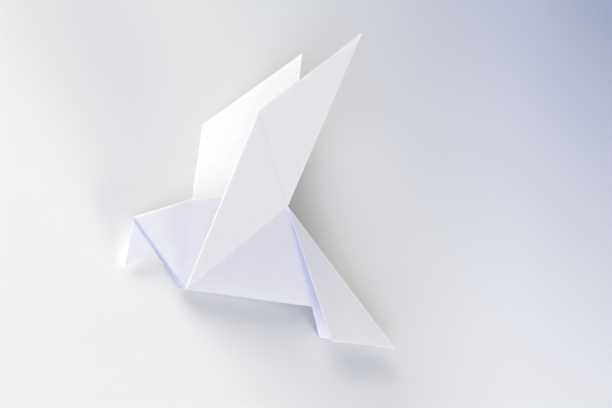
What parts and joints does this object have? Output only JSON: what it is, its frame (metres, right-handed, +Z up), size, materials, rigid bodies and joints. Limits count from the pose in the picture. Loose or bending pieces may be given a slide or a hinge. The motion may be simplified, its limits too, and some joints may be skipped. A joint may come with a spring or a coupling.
{
  "type": "origami dove",
  "caption": "Folded paper dove with a narrow tent body, two raised wings, a turned-down beak and a crimped tail, lying on its side.",
  "frame": {"origin": "middle of the bird's outline seen from above, on the surface it lies on", "axes": "+Z up from that surface, +X from the head towards the tail, +Y the way the wings point"},
  "size_m": [0.1464, 0.146, 0.0881],
  "materials": {
    "paper": "smooth uncoated white paper"
  },
  "bodies": {
    "root": {"folded_sheet": "paper"}
  },
  "joints": []
}
